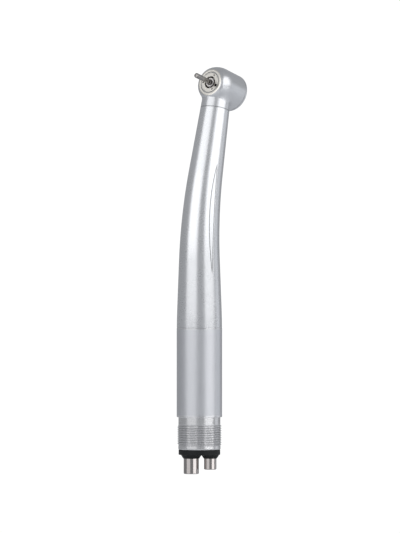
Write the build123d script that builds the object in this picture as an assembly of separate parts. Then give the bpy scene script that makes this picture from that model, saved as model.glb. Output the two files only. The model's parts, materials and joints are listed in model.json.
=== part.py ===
from build123d import *
import os
from math import cos, hypot, pi, radians, sin, tan

# High speed dental handpiece, in millimetres.  +Z runs up the handle to the head, the bur leaves the
# head towards -X, and the neck leans towards +X.  The origin is on the handle's axis, in the plane of
# the rear sleeve's end face, where the hose coupling's nut stops.

# ---- centre line: straight, one large arc, straight to the bur's axis ----
straight_length = 50.0
bend_radius = 122.0
bend_angle = 13.5
neck_length = 29.1

# ---- handle shells ----
barrel_radius = 7.32
taper = 0.0378
taper_start = 31.0
taper_blend = 3.0
shell_wall = 0.8
rear_sleeve_wall = 1.0
sleeve_seam = 28.8
neck_seam = 100.15
sleeve_bore = barrel_radius - rear_sleeve_wall
seam_chamfer = 0.12
loft_step = 7.0

# ---- head, with depths measured behind the face plane ----
head_tilt = 15.0
face_to_neck = 4.76
head_radius = 6.12
face_radius = 4.2
shoulder_radius = 5.3
shoulder_depth = 0.95
nose_arc_radius = 4.86
nose_arc_depth = 0.38
full_radius_depth = 5.0
cap_seam_depth = 11.6
head_length = 12.8
cap_edge_round = 0.75
chamber_radius = 4.85
chamber_front = 3.9
bearing_bore = 3.65
bearing_lip_depth = 1.2
lip_bore = 2.2
neck_end_radius = 4.45
neck_fillet = 0.45

# ---- face plate ----
plate_radius = 3.36
plate_bore = 2.0
plate_thickness = 0.85
plate_chamfer = 0.12
plate_groove_half_width = 0.3
plate_groove_depth = 0.2
recess_play = 0.1
spray_hole_radius = 0.19
spray_circle = 2.65
spray_angles = (-30.0, -150.0, 90.0)
spanner_hole_radius = 0.4
spanner_circle = 2.75
spanner_depth = 0.5
spanner_angles = (-112.0, 68.0)

# ---- turbine ----
seat_radius = 1.5875
nose_radius = 1.5
nose_bore = 0.95
hub_seat_radius = 1.9
spindle_bore = 1.2
spindle_bore_front = 1.25
spring_bore = 1.36
spring_bore_depth = 7.5
spindle_length = 11.0
race_radius = 3.175
race_width = 2.4
front_race_depth = 1.35
rear_race_depth = 8.55
inner_race_radius = 2.08
outer_race_bore = 2.68
ball_radius = 0.5
ball_circle = 2.38
ball_count = 7
groove_play = 0.02
cage_inner = 2.2
cage_outer = 2.56
cage_width = 1.7
washer_margin = 0.1
o_ring_wire = 0.22
impeller_radius = 4.5
impeller_width = 3.5
impeller_depth = 4.3
impeller_pockets = 10
pocket_radius = 1.05
pocket_circle = 4.25

# ---- chuck, bur blank and push button ----
bur_radius = 0.8
bur_reach = 7.7
bur_seat_depth = 9.6
grip_play = 0.02
collet_radius = 1.15
collet_tail_radius = 1.05
collet_front = 1.6
collet_back = 10.1
collet_slot = 0.25
collet_slot_length = 3.6
collet_fingers = 3
collet_tail_front = 7.2
chuck_spring_radius = 1.205
chuck_spring_wire = 0.09
chuck_spring_turns = 6
shank_chamfer = 0.18
plunger_radius = 1.3
plunger_back = 11.3
button_travel = 0.4
button_radius = 4.1
button_flange_radius = 4.6
button_flange_front = 11.95
button_flange_back = 12.45
button_top = 13.65
button_edge = 13.15
button_boss_radius = 1.3
button_boss_front = 11.45
button_pocket_radius = 3.4
button_pocket_back = 13.0
button_spring_radius = 2.6
button_spring_wire = 0.17
button_spring_turns = 3
cap_floor = 11.5
cap_floor_front = 11.1
cap_floor_bore = 1.7
cap_pocket_radius = 4.7
cap_lip_depth = 12.5
cap_lip_bore = 4.2
cap_front = 8.3

# ---- neck ----
spigot_radius = 3.8
spigot_start = 94.5
neck_seal_place = 97.0
neck_bore = 3.2
neck_bore_end = 101.8
port_end = 103.6
block_start = 95.0
block_end = 101.7
nozzle_radius = 0.8
exhaust_port_radius = 1.1
exhaust_port = (0.9, 1.5)

# ---- coupling ----
relief_radius = 6.75
relief_length = 2.6
thread_radius = 7.1
thread_pitch = 0.75
thread_depth = 0.4
thread_turns = 8
thread_crest = thread_pitch / 8
collar_radius = 7.0
collar_start = 8.9
collar_end = 10.5
collar_chamfer = 0.35
body_inner_length = 14.0
gasket_radius = 6.7
gasket_end = 12.1
cone_spread = 0.95
cone_tip_wall = 0.12
cone_length = 1.25
exhaust_place = (-1.57, 2.10)
exhaust_radius = 2.45
exhaust_bore = 1.95
exhaust_end = 18.3
drive_place = (2.09, -2.79)
drive_neck_place = (1.05, -1.4)
drive_radius = 2.0
drive_bore = 1.45
drive_end = 16.9
drive_line_radius = 1.15
drive_line_bore = 0.85
tube_step = 3.0
water_place = (-2.9, -2.2)
water_neck_place = (-1.6, -1.3)
chip_place = (2.9, 2.2)
chip_neck_place = (-1.3, 1.7)
small_tube_radius = 0.6
small_tube_bore = 0.4
small_tube_end = 11.9
tube_fit = 0.02
tube_bend_start = 17.0
tube_bend_end = 46.0
tube_bend_radius = 25.0
tube_mouth_chamfer = 0.2
tube_shoulder = 0.2
tube_shoulder_end = 13.4
drive_bore_end = 2.0
seal_margin = 0.1
seal_bore = 5.2
seal_thickness = 1.0
past_all = 30.0

# ---- joint of the two sleeves ----
joint_ring_radius = 6.25
joint_ring_bore = 5.4
joint_ring_start = 21.0
joint_ring_end = 34.0
joint_groove_radius = 6.1
joint_groove_place = 25.0


# ---------------------------------------------------------------- places
def line_point(distance):
    """Point of the handle's centre line, as (x, z), and its lean from +Z in degrees."""
    arc_length = bend_radius * radians(bend_angle)
    along = min(max(distance - straight_length, 0.0), arc_length)
    lean = along / bend_radius
    past = max(distance - straight_length - arc_length, 0.0)
    x = bend_radius * (1 - cos(lean)) + past * sin(lean)
    z = min(distance, straight_length) + bend_radius * sin(lean) + past * cos(lean)
    return x, z, lean * 180 / pi


def line_plane(distance):
    """Plane square to the centre line: its x axis lies in the handle's plane and its y axis is +Y."""
    x, z, lean = line_point(distance)
    along = (sin(radians(lean)), 0, cos(radians(lean)))
    across = (cos(radians(lean)), 0, -sin(radians(lean)))
    return Plane(origin=(x, 0, z), x_dir=across, z_dir=along)


neck_root = straight_length + bend_radius * radians(bend_angle) + neck_length
tilt = radians(head_tilt)
crossing_x, crossing_z = line_point(neck_root)[:2]
face_centre = (crossing_x - face_to_neck * cos(tilt), 0, crossing_z + face_to_neck * sin(tilt))
head_plane = Plane(origin=face_centre, x_dir=(sin(tilt), 0, cos(tilt)), z_dir=(-cos(tilt), 0, sin(tilt)))


def sleeve_radius(distance):
    """Outer radius: a cylinder that turns softly into a straight taper."""
    past = distance - taper_start
    return barrel_radius - taper * (past + hypot(past, taper_blend)) / 2


def in_head(part):
    """Carry a part from the head's own frame, +Z out of the face, to the handpiece's frame."""
    return head_plane.location * part


# ---------------------------------------------------------------- building blocks
def ring(outer, inner, front, back):
    """Ring about the head's axis between two depths behind the face."""
    body = Cylinder(outer, back - front, align=(Align.CENTER, Align.CENTER, Align.MAX))
    body -= Cylinder(inner, back - front, align=(Align.CENTER, Align.CENTER, Align.MAX))
    return Pos(0, 0, -front) * body


def rod(radius, front, back):
    """Round bar about the head's axis between two depths behind the face."""
    return Pos(0, 0, -front) * Cylinder(radius, back - front, align=(Align.CENTER, Align.CENTER, Align.MAX))


def tube(outer, inner, low, high):
    """Tube about +Z between two heights."""
    body = Cylinder(outer, high - low, align=(Align.CENTER, Align.CENTER, Align.MIN))
    body -= Cylinder(inner, high - low, align=(Align.CENTER, Align.CENTER, Align.MIN))
    return Pos(0, 0, low) * body


def post(radius, place, low, high):
    """Round bar at a place in plan between two heights."""
    return Pos(place[0], place[1], low) * Cylinder(
        radius, high - low, align=(Align.CENTER, Align.CENTER, Align.MIN))


def o_ring(mean_radius, height, wire=o_ring_wire):
    """Torus about the local Z axis."""
    return Pos(0, 0, height) * Torus(mean_radius, wire)


def coil(mean_radius, wire, front, back, turns):
    """Coil spring about the head's axis, with its wire between two depths behind the face."""
    height = back - front - 2 * wire
    path = Helix(pitch=height / turns, height=height, radius=mean_radius)
    start = Plane(origin=path @ 0, z_dir=path % 0)
    return Pos(0, 0, -back + wire) * sweep(start * Circle(wire), path=path, is_frenet=True)


def centre_line_loft(first, last, radius_at):
    """Solid of circles along the centre line, with radius_at giving each circle's radius."""
    count = max(2, round((last - first) / loft_step) + 1)
    circles = []
    for index in range(count):
        distance = first + (last - first) * index / (count - 1)
        circles.append(line_plane(distance) * Circle(radius_at(distance)))
    return loft(circles)


def neck_post(radius, place, first, last):
    """Round bar beside the neck's straight axis, between two distances along the centre line."""
    bar = Cylinder(radius, last - first, align=(Align.CENTER, Align.CENTER, Align.MIN))
    return line_plane(first).location * (Pos(place[0], place[1], 0) * bar)


def inner_line(radius, bore, rear_place, neck_place, low):
    """Thin tube from the coupling to the neck block, drawn in towards the centre line on its way."""
    offset = neck_place[0]
    bend_top = straight_length + (bend_radius - offset) * tan(radians(bend_angle) / 2)
    end_x, end_z, lean = line_point(block_end)
    end = (end_x + offset * cos(radians(lean)), neck_place[1], end_z - offset * sin(radians(lean)))
    route = FilletPolyline(
        (rear_place[0], rear_place[1], low),
        (rear_place[0], rear_place[1], tube_bend_start),
        (neck_place[0], neck_place[1], tube_bend_end),
        (neck_place[0], neck_place[1], bend_top),
        end,
        radius=[tube_bend_radius, tube_bend_radius, bend_radius - offset],
    )
    start = Plane(origin=route @ 0, z_dir=route % 0)
    return sweep(start * (Circle(radius) - Circle(bore)), path=route)


# ---------------------------------------------------------------- shells
def make_front_sleeve():
    """Long curved shell, from the seam of the two sleeves to the neck seam."""
    outer = centre_line_loft(sleeve_seam, neck_seam, sleeve_radius)
    inner = centre_line_loft(sleeve_seam, neck_seam, lambda distance: sleeve_radius(distance) - shell_wall)
    return outer - inner


def make_rear_sleeve():
    """Straight shell with a fine chamfer at both ends."""
    shell = Cylinder(barrel_radius, sleeve_seam, align=(Align.CENTER, Align.CENTER, Align.MIN))
    shell = chamfer(shell.edges().filter_by(GeomType.CIRCLE), seam_chamfer)
    return shell - post(sleeve_bore, (0, 0), -1, sleeve_seam + 1)


def make_joint_ring():
    """Ring inside the seam that carries both sleeves, with a groove for its seal."""
    body = tube(joint_ring_radius, joint_ring_bore, joint_ring_start, joint_ring_end)
    return body - o_ring(joint_groove_radius, joint_groove_place, o_ring_wire + groove_play)


def make_joint_seal():
    """Rubber ring in the joint ring's groove, short of the rear sleeve's wall."""
    return o_ring(joint_groove_radius, joint_groove_place, o_ring_wire - groove_play)


# ---------------------------------------------------------------- head
def junction_edges(housing):
    """Edges where the neck leaves the barrel: neither circles nor straight."""
    plain = (GeomType.CIRCLE, GeomType.LINE)
    return housing.edges().filter_by(lambda edge: edge.geom_type not in plain)


def make_head_housing():
    """Barrel of the head with the neck below it, bored for the turbine and for the lines."""
    with BuildPart() as barrel:
        with BuildSketch(Plane.XZ):
            with BuildLine():
                shoulder = ThreePointArc(
                    (face_radius, 0), (nose_arc_radius, -nose_arc_depth), (shoulder_radius, -shoulder_depth))
                flare = TangentArc(
                    shoulder @ 1, (head_radius, -full_radius_depth), tangent=shoulder % 1)
                Polyline(flare @ 1, (head_radius, -cap_seam_depth), (0, -cap_seam_depth), (0, 0),
                         shoulder @ 0)
            make_face()
        revolve(axis=Axis.Z)
    head = in_head(barrel.part)
    neck = centre_line_loft(
        neck_seam, neck_root,
        lambda distance: sleeve_radius(neck_seam)
        + (neck_end_radius - sleeve_radius(neck_seam)) * (distance - neck_seam) / (neck_root - neck_seam))
    housing = head + neck
    housing = fillet(junction_edges(housing), neck_fillet)
    housing += neck_post(spigot_radius, (0, 0), spigot_start, neck_seam + 1)
    housing -= in_head(rod(plate_radius, -1, plate_thickness + recess_play))
    housing -= in_head(rod(lip_bore, 0, chamber_front))
    housing -= in_head(rod(bearing_bore, bearing_lip_depth, chamber_front + 0.1))
    housing -= in_head(rod(chamber_radius, chamber_front, head_length))
    housing -= neck_post(neck_bore, (0, 0), spigot_start - 1, neck_bore_end)
    housing -= neck_post(nozzle_radius, drive_neck_place, neck_bore_end - 1, port_end)
    housing -= neck_post(exhaust_port_radius, exhaust_port, neck_bore_end - 1, port_end)
    housing -= line_plane(neck_seal_place).location * o_ring(spigot_radius, 0, o_ring_wire + groove_play)
    return housing


def make_face_plate():
    """Spray plate: a chamfered ring with fine spray holes and two blind spanner holes."""
    plate = rod(plate_radius - groove_play, 0, plate_thickness)
    plate = chamfer(plate.edges().group_by(Axis.Z)[-1], plate_chamfer)
    plate -= rod(plate_bore, -1, plate_thickness + 1)
    plate -= ring(spray_circle + plate_groove_half_width, spray_circle - plate_groove_half_width,
                  plate_thickness - plate_groove_depth, plate_thickness)
    for angle in spray_angles:
        plate -= Rot(0, 0, angle) * Pos(spray_circle, 0, 0) * rod(spray_hole_radius, -1, plate_thickness)
    for angle in spanner_angles:
        plate -= Rot(0, 0, angle) * Pos(spanner_circle, 0, 0) * rod(spanner_hole_radius, -1, spanner_depth)
    return in_head(plate)


def make_back_cap():
    """Screwed cap: bearing seat in front, push button pocket behind, rounded outer rim."""
    rim = rod(head_radius, cap_seam_depth, head_length)
    rim = fillet(rim.edges().group_by(Axis.Z)[0], cap_edge_round)
    cap = rim + rod(chamber_radius - groove_play, cap_front, cap_seam_depth)
    cap -= rod(bearing_bore, cap_front - 1, cap_floor_front)
    cap -= rod(cap_floor_bore, cap_front, cap_lip_depth)
    cap -= rod(cap_pocket_radius, cap_floor, cap_lip_depth)
    cap -= rod(cap_lip_bore, cap_floor, head_length + 1)
    return in_head(cap)


def make_push_button():
    """Domed button with a retaining flange, a boss for the plunger and a pocket for its spring."""
    crown = button_top - button_edge
    dome_radius = (button_radius ** 2 + crown ** 2) / (2 * crown)
    button = rod(button_radius, button_flange_back, button_top)
    button &= Pos(0, 0, dome_radius - button_top) * Sphere(dome_radius)
    button += rod(button_flange_radius, button_flange_front, button_flange_back)
    button -= rod(button_pocket_radius, button_flange_front - 1, button_pocket_back)
    button += rod(button_boss_radius, button_boss_front, button_pocket_back)
    return in_head(button)


# ---------------------------------------------------------------- turbine
def make_spindle():
    """Hollow shaft with a nose at the face, two bearing seats and a shoulder between them."""
    front_seat_back = front_race_depth + race_width
    shaft = rod(nose_radius, 0, front_race_depth)
    shaft += rod(seat_radius, front_race_depth, front_seat_back)
    shaft += rod(hub_seat_radius, front_seat_back, rear_race_depth)
    shaft += rod(seat_radius, rear_race_depth, spindle_length)
    shaft -= rod(nose_bore, -1, collet_front)
    shaft -= rod(spindle_bore, spindle_bore_front, spindle_length + 1)
    shaft -= rod(spring_bore, spring_bore_depth, spindle_length + 1)
    return in_head(shaft)


def make_impeller():
    """Air wheel: a disc with round pockets cut into its edge, which leave curved blades."""
    wheel = ring(impeller_radius, hub_seat_radius, impeller_depth, impeller_depth + impeller_width)
    for index in range(impeller_pockets):
        pocket = Pos(pocket_circle, 0, 0) * rod(
            pocket_radius, impeller_depth - 1, impeller_depth + impeller_width + 1)
        wheel -= Rot(0, 0, index * 360 / impeller_pockets) * pocket
    return in_head(wheel)


def make_outer_race(depth):
    """Outer ring of a ball bearing with its ball groove."""
    race = ring(race_radius, outer_race_bore, depth, depth + race_width)
    return in_head(race - o_ring(ball_circle, -depth - race_width / 2, ball_radius + groove_play))


def make_inner_race(depth):
    """Inner ring of a ball bearing with its ball groove."""
    race = ring(inner_race_radius, seat_radius, depth, depth + race_width)
    return in_head(race - o_ring(ball_circle, -depth - race_width / 2, ball_radius + groove_play))


def ball_places(depth):
    """Places of the balls in the head's frame."""
    places = []
    for index in range(ball_count):
        places.append(Rot(0, 0, index * 360 / ball_count) * Pos(ball_circle, 0, -depth - race_width / 2))
    return places


def make_balls(depth):
    """Balls of one bearing."""
    balls = []
    for place in ball_places(depth):
        balls.append(in_head(place * Sphere(ball_radius)))
    return Compound(children=balls)


def make_cage(depth):
    """Ring that spaces the balls, with one round pocket for each."""
    middle = depth + race_width / 2
    cage = ring(cage_outer, cage_inner, middle - cage_width / 2, middle + cage_width / 2)
    for place in ball_places(depth):
        cage -= place * Rot(0, 90, 0) * Cylinder(ball_radius + groove_play, 2 * (cage_outer - cage_inner))
    return in_head(cage)


def make_bearing_seal(depth):
    """Rubber ring between a bearing and its bore, which lets the rotor centre itself."""
    mean = (race_radius + bearing_bore) / 2
    return in_head(o_ring(mean, -depth - race_width / 2))


def make_preload_washer():
    """Spring washer between the head's front lip and the front bearing's outer ring."""
    return in_head(ring(race_radius - washer_margin, outer_race_bore - washer_margin,
                        bearing_lip_depth, front_race_depth))


# ---------------------------------------------------------------- chuck
def make_collet_chuck():
    """Gripping tube for the bur shank, slotted at its mouth into three fingers."""
    body = rod(collet_radius, collet_front, collet_tail_front)
    body += rod(collet_tail_radius, collet_tail_front, collet_back)
    body -= rod(bur_radius + grip_play, collet_front - 1, collet_back + 1)
    for index in range(collet_fingers):
        slot = Pos(collet_radius, 0, -collet_front - collet_slot_length / 2) * Box(
            2 * collet_radius, collet_slot, collet_slot_length)
        body -= Rot(0, 0, index * 360 / collet_fingers) * slot
    return in_head(body)


def make_chuck_plunger():
    """Plug behind the collet that the button pushes forward to free the bur."""
    return in_head(rod(plunger_radius, collet_back, plunger_back))


def make_chuck_spring():
    """Spring in the spindle's tail that draws the collet back into its grip."""
    return in_head(coil(chuck_spring_radius, chuck_spring_wire, spring_bore_depth, collet_back,
                        chuck_spring_turns))


def make_button_spring():
    """Spring between the cap's floor and the button's pocket."""
    return in_head(coil(button_spring_radius, button_spring_wire, cap_floor, button_pocket_back,
                        button_spring_turns))


def make_bur_blank():
    """Plain friction grip shank with a small chamfer at both ends."""
    shank = rod(bur_radius, -bur_reach, bur_seat_depth)
    return in_head(chamfer(shank.edges().filter_by(GeomType.CIRCLE), shank_chamfer))


# ---------------------------------------------------------------- neck
def make_neck_block():
    """Plug in the neck that holds the ends of the lines and lets the exhaust air past."""
    block = neck_post(neck_bore - groove_play, (0, 0), block_start, block_end)
    block -= neck_post(drive_line_radius + tube_fit, drive_neck_place, block_start - 1, neck_bore_end + 1)
    block -= neck_post(small_tube_radius + tube_fit, water_neck_place, block_start - 1, neck_bore_end + 1)
    block -= neck_post(small_tube_radius + tube_fit, chip_neck_place, block_start - 1, neck_bore_end + 1)
    block -= neck_post(exhaust_port_radius, exhaust_port, block_start - 1, neck_bore_end + 1)
    return block


def make_neck_seal():
    """Rubber ring between the head's spigot and the front sleeve."""
    return line_plane(neck_seal_place).location * o_ring(spigot_radius, 0, o_ring_wire - groove_play)


# ---------------------------------------------------------------- coupling
def make_connector_body():
    """Rear body: plug inside the sleeve, plain relief, thread ridges and chamfered collar."""
    thread_start = -relief_length
    points = [(0, body_inner_length), (sleeve_bore - groove_play, body_inner_length),
              (sleeve_bore - groove_play, 0), (relief_radius, 0), (relief_radius, thread_start)]
    for turn in range(thread_turns):
        crest = thread_start - (turn + 0.5) * thread_pitch
        points += [(thread_radius, crest + thread_crest / 2), (thread_radius, crest - thread_crest / 2)]
        points.append((thread_radius - thread_depth, crest - thread_pitch / 2))
    points += [(collar_radius, -collar_start), (collar_radius, -collar_end + collar_chamfer),
               (relief_radius, -collar_end), (0, -collar_end)]
    with BuildPart() as body:
        with BuildSketch(Plane.XZ):
            with BuildLine():
                Polyline(*points, close=True)
            make_face()
        revolve(axis=Axis.Z)
    solid = body.part
    solid -= post(exhaust_radius - tube_shoulder + tube_fit, exhaust_place, -past_all, past_all)
    solid -= post(drive_radius - tube_shoulder + tube_fit, drive_place, -past_all, tube_step + tube_fit)
    solid -= post(drive_line_radius + tube_fit, drive_place, -past_all, past_all)
    solid -= post(small_tube_radius + tube_fit, water_place, -past_all, past_all)
    solid -= post(small_tube_radius + tube_fit, chip_place, -past_all, past_all)
    return solid


def make_connector_gasket():
    """Rubber disc with a cone round each large tube and a flush port for each small one."""
    disc = post(gasket_radius, (0, 0), -gasket_end, -collar_end)
    for place, radius in ((exhaust_place, exhaust_radius), (drive_place, drive_radius)):
        cone = Cone(radius + cone_tip_wall, radius + cone_spread, cone_length,
                    align=(Align.CENTER, Align.CENTER, Align.MAX))
        disc += Pos(place[0], place[1], -gasket_end) * cone
    disc -= post(exhaust_radius - tube_shoulder + tube_fit, exhaust_place, -past_all, 0)
    disc -= post(drive_radius - tube_shoulder + tube_fit, drive_place, -past_all, 0)
    disc -= post(small_tube_radius + tube_fit, water_place, -past_all, 0)
    disc -= post(small_tube_radius + tube_fit, chip_place, -past_all, 0)
    return disc


def make_exhaust_tube():
    """Large steel tube that returns the air, open into the hollow of the handle."""
    pipe = post(exhaust_radius, exhaust_place, -exhaust_end, -tube_shoulder_end)
    pipe = chamfer(pipe.edges().group_by(Axis.Z)[0], tube_mouth_chamfer)
    pipe += post(exhaust_radius - tube_shoulder, exhaust_place, -tube_shoulder_end, body_inner_length)
    return pipe - post(exhaust_bore, exhaust_place, -past_all, past_all)


def make_drive_air_tube():
    """Second large tube, stepped down inside the body to the line that runs to the head."""
    pipe = post(drive_radius, drive_place, -drive_end, -tube_shoulder_end)
    pipe = chamfer(pipe.edges().group_by(Axis.Z)[0], tube_mouth_chamfer)
    pipe += post(drive_radius - tube_shoulder, drive_place, -tube_shoulder_end, tube_step)
    pipe -= post(drive_bore, drive_place, -past_all, drive_bore_end)
    pipe -= post(drive_line_bore, drive_place, -past_all, past_all)
    return pipe + inner_line(drive_line_radius, drive_line_bore, drive_place, drive_neck_place, tube_step)


def make_water_tube():
    """Thin line for the spray water."""
    return inner_line(small_tube_radius, small_tube_bore, water_place, water_neck_place, -small_tube_end)


def make_chip_air_tube():
    """Thin line for the spray air."""
    return inner_line(small_tube_radius, small_tube_bore, chip_place, chip_neck_place, -small_tube_end)


def make_connector_seal():
    """Flat rubber ring between the connector body's shoulder and the joint ring."""
    return tube(sleeve_bore - seal_margin, seal_bore, body_inner_length, body_inner_length + seal_thickness)


pieces = {
    "head_housing": make_head_housing(),
    "face_plate": make_face_plate(),
    "back_cap": make_back_cap(),
    "push_button": make_push_button(),
    "button_spring": make_button_spring(),
    "spindle": make_spindle(),
    "impeller": make_impeller(),
    "front_outer_race": make_outer_race(front_race_depth),
    "front_inner_race": make_inner_race(front_race_depth),
    "front_balls": make_balls(front_race_depth),
    "front_cage": make_cage(front_race_depth),
    "front_o_ring": make_bearing_seal(front_race_depth),
    "rear_outer_race": make_outer_race(rear_race_depth),
    "rear_inner_race": make_inner_race(rear_race_depth),
    "rear_balls": make_balls(rear_race_depth),
    "rear_cage": make_cage(rear_race_depth),
    "rear_o_ring": make_bearing_seal(rear_race_depth),
    "preload_washer": make_preload_washer(),
    "collet_chuck": make_collet_chuck(),
    "chuck_plunger": make_chuck_plunger(),
    "chuck_spring": make_chuck_spring(),
    "bur_blank": make_bur_blank(),
    "neck_block": make_neck_block(),
    "neck_seal": make_neck_seal(),
    "front_sleeve": make_front_sleeve(),
    "rear_sleeve": make_rear_sleeve(),
    "joint_ring": make_joint_ring(),
    "joint_seal": make_joint_seal(),
    "connector_body": make_connector_body(),
    "connector_seal": make_connector_seal(),
    "connector_gasket": make_connector_gasket(),
    "exhaust_tube": make_exhaust_tube(),
    "drive_air_tube": make_drive_air_tube(),
    "water_tube": make_water_tube(),
    "chip_air_tube": make_chip_air_tube(),
}

os.makedirs("parts", exist_ok=True)
for name, piece in pieces.items():
    export_step(piece, f"parts/{name}.step")
print("face centre", [round(value, 3) for value in face_centre])
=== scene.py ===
import json
from math import atan2, cos, hypot, pi, radians, sin, tan

import bmesh
import bpy
import numpy as np
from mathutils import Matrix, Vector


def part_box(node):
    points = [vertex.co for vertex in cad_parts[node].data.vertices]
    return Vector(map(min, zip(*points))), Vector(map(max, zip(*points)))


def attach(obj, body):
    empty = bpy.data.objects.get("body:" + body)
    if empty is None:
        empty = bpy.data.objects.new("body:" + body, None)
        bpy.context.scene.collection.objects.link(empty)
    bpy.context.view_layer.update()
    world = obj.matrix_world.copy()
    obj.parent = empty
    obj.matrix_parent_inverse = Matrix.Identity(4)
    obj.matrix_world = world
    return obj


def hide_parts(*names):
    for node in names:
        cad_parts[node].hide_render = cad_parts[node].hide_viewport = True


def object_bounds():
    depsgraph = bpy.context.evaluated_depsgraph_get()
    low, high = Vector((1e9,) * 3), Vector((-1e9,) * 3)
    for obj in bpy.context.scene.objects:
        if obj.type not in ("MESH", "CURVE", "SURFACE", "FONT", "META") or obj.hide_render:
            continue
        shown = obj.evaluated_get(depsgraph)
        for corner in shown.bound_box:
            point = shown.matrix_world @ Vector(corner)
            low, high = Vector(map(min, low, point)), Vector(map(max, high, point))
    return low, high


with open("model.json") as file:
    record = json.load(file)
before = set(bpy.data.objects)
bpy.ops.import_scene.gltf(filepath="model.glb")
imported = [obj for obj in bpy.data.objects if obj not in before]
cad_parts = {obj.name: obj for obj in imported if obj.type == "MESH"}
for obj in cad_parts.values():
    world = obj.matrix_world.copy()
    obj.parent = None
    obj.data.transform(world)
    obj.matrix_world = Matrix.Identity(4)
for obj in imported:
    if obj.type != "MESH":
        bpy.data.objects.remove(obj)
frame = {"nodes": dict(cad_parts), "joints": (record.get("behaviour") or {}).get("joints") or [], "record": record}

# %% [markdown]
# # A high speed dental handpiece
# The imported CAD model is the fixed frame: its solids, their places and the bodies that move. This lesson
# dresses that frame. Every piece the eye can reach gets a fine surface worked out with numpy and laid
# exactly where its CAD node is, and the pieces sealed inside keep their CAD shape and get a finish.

cad_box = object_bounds()
record = frame["record"]
mm = 0.001
print("CAD box in mm:", [[round(value / mm, 2) for value in corner] for corner in cad_box])

# %% [markdown]
# ## The two reference frames
# The handle follows a centre line: straight, one large arc, straight again. The head has a frame of its
# own about the bur's axis, which the rotor's joint states. Both are worked out once, in millimetres, and
# every surface below is a formula in one of them. Depths in the head are measured from the face plane.

# %% Centre line of the handle
straight_length = 50.0
bend_radius = 122.0
bend_angle = radians(13.5)
neck_length = 29.1
barrel_radius = 7.32
taper = 0.0378
taper_start = 31.0
taper_blend = 3.0
sleeve_seam = 28.8
neck_seam = 100.15
neck_root = straight_length + bend_radius * bend_angle + neck_length


def centre_line(distance):
    """Points and lean of the centre line: straight up, then a circle's arc, then along its last tangent."""
    distance = np.asarray(distance, float)
    lean = np.clip(distance - straight_length, 0, bend_radius * bend_angle) / bend_radius
    past = np.maximum(distance - straight_length - bend_radius * bend_angle, 0)
    x = bend_radius * (1 - np.cos(lean)) + past * np.sin(lean)
    z = np.minimum(distance, straight_length) + bend_radius * np.sin(lean) + past * np.cos(lean)
    return x, z, lean


def beside_line(distance, across, aside):
    """Points at distance along the centre line, moved across it in the handle's plane and aside along Y."""
    x, z, lean = centre_line(distance)
    return np.stack(np.broadcast_arrays(x + across * np.cos(lean), aside, z - across * np.sin(lean)), -1)


def sleeve_radius(distance):
    """Radius: a cylinder that turns softly into a straight taper, by half of w + sqrt(w^2 + blend^2)."""
    past = distance - taper_start
    return barrel_radius - taper * (past + np.hypot(past, taper_blend)) / 2


print("neck meets the bur's axis at", [round(float(value), 2) for value in centre_line(neck_root)[:2]])

# %% Frame of the head
spin = next(joint for joint in frame["joints"] if joint["name"] == "rotor_spin")
crossing = np.array(spin["pos_m"]) / mm
bur_direction = np.array(spin["axis"]) / np.linalg.norm(spin["axis"])
head_up = np.array([bur_direction[2], 0.0, -bur_direction[0]])
head_axes = np.stack([head_up, np.cross(bur_direction, head_up), bur_direction])


def depths(node):
    """Nearest and farthest depth of a CAD node behind the crossing point, along the bur's axis."""
    mesh = frame["nodes"][node].data
    flat = np.zeros(3 * len(mesh.vertices))
    mesh.vertices.foreach_get("co", flat)
    along = (crossing - flat.reshape(-1, 3) / mm) @ bur_direction
    return along.min(), along.max()


face_to_neck = -depths("face_plate")[0]
face_centre = crossing + face_to_neck * bur_direction
head_length = depths("back_cap")[1] + face_to_neck


def head_points(up, side, depth):
    """Points given up and side across the bur and by depth behind the face, carried into the row's frame."""
    local = np.stack(np.broadcast_arrays(up, side, -np.asarray(depth, float)), -1)
    return face_centre + local @ head_axes


print("face centre", face_centre.round(2), "head length", round(float(head_length), 2))

# %% [markdown]
# ## From grids to closed pieces
# Each surface is a grid of points: rows run along it, columns run round it. One helper numbers the points,
# builds the four-cornered faces as whole arrays, welds the seams and poles, turns the normals outwards and
# hands the piece to its body. It could be done with modelling tools one piece at a time, but one helper
# treats all of them alike. Two attributes go with it: wear marks edges that hands and cloths rub bright,
# and painted shade marks the roots of threads, holes and seams, where the colour is darkened to stand in for
# shade.

# %% Surface helpers
def supported(profile, reach=0.04):
    """Extra rows just inside the ends of long stretches, so smooth shading bends only near corners."""
    start, end = profile[:-1], profile[1:]
    length = np.linalg.norm(end - start, axis=1, keepdims=True)
    share = np.where(length > 4 * reach, reach / np.maximum(length, reach), 0.0)
    near = start + (end - start) * share
    far = end - (end - start) * share
    wanted = (share > 0)[:, 0]
    keep = np.stack([np.ones_like(wanted), wanted, wanted], -1).reshape(-1)
    return np.vstack([np.stack([start, near, far], 1).reshape(-1, 2)[keep], profile[-1:]])


def round_grid(place, profile, columns):
    """Turn a profile of (radius, height) rows about an axis: place(radius cos a, radius sin a, height)."""
    profile = supported(np.asarray(profile, float))
    angle = columns if isinstance(columns, np.ndarray) else np.linspace(0, 2 * pi, columns, endpoint=False)
    radius, height = profile[:, :1], profile[:, 1:]
    return place(radius * np.cos(angle), radius * np.sin(angle), height + 0 * angle)


def upright(place):
    """Placer for pieces about a vertical axis at a place in plan."""
    return lambda x, y, z: np.stack(np.broadcast_arrays(x + place[0], y + place[1], z), -1)


def corner(start, middle, end, steps=6):
    """Rounded corner as a quadratic curve: (1-t)^2 start + 2t(1-t) middle + t^2 end."""
    t = np.linspace(0, 1, steps)[:, None]
    return (1 - t) ** 2 * np.array(start) + 2 * t * (1 - t) * np.array(middle) + t ** 2 * np.array(end)


def rows(*stretches):
    """Stack single rows and rounded corners into one profile."""
    return np.vstack([np.atleast_2d(stretch) for stretch in stretches])


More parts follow.
